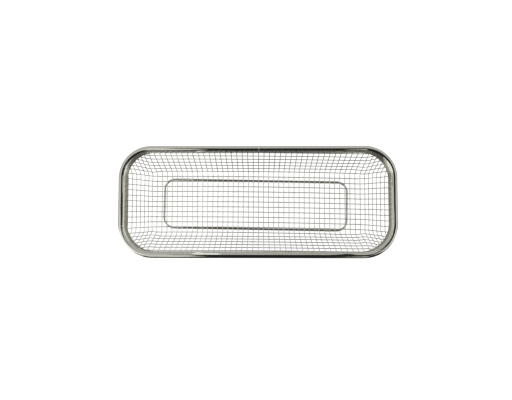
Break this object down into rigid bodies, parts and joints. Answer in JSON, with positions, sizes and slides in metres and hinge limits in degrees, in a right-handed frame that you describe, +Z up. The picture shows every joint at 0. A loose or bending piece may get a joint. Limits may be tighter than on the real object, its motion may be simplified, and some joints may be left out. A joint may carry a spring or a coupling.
{
  "type": "autoclave basket",
  "caption": "Shallow rectangular tray of pressed welded wire mesh with rounded corners, a folded steel rim round its mouth and a wire base ring.",
  "frame": {"origin": "on the surface the basket stands on, under the middle of its mouth", "axes": "+X along the basket's length, +Y across it, +Z up out of its open mouth"},
  "size_m": [0.248, 0.0994, 0.045],
  "materials": {
    "wire_cloth": "bright drawn stainless wire, spot-welded at its crossings",
    "rim_steel": "polished stainless sheet with faint lengthwise rolling lines",
    "ring_steel": "drawn stainless wire with small weld spots"
  },
  "bodies": {
    "root": {"mesh_tray": "wire_cloth", "rim_channel": "rim_steel", "base_ring": "ring_steel"}
  },
  "joints": []
}
